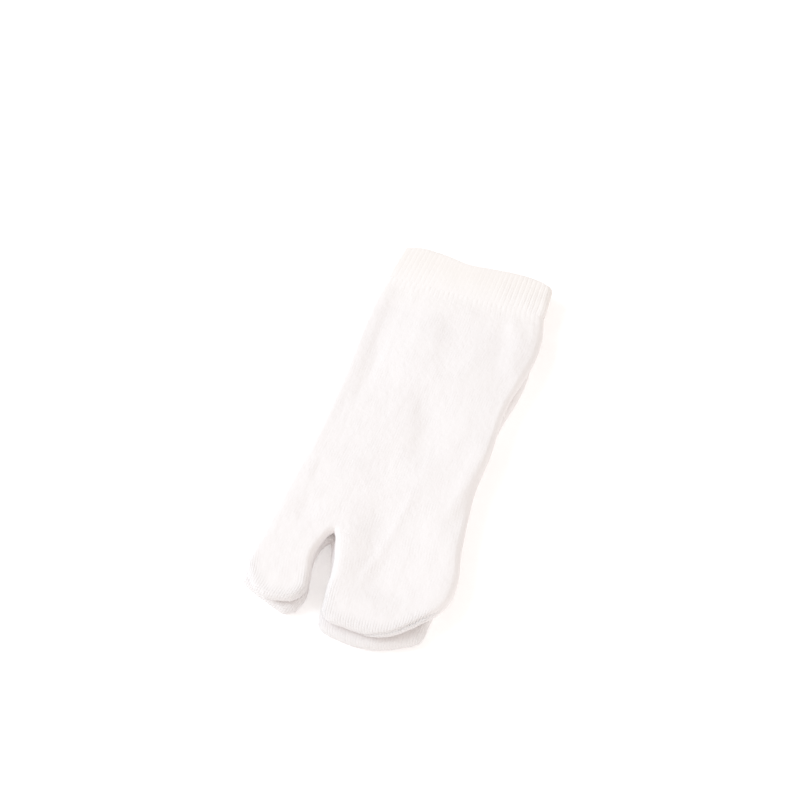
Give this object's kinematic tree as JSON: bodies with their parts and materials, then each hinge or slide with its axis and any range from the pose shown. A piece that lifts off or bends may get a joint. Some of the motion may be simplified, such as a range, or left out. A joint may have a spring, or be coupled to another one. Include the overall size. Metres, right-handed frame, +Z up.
{
  "type": "pair of tabi socks",
  "caption": "Pair of split-toe tabi ankle socks in soft pile knit with ribbed cuffs, laid flat one on the other, sole to sole.",
  "frame": {"origin": "middle of the pair's footprint, on the surface that it lies on", "axes": "+Z up from the surface, +Y along the feet towards the cuffs, +X towards the little toes"},
  "size_m": [0.1121, 0.2529, 0.0167],
  "materials": {
    "pile_knit": "matt white pile knit with a faint pink cast",
    "rib_knit": "matt cream rib knit"
  },
  "bodies": {
    "root": {"upper_sock": "pile_knit", "lower_sock": "pile_knit", "upper_cuff": "rib_knit", "lower_cuff": "rib_knit"}
  },
  "joints": []
}
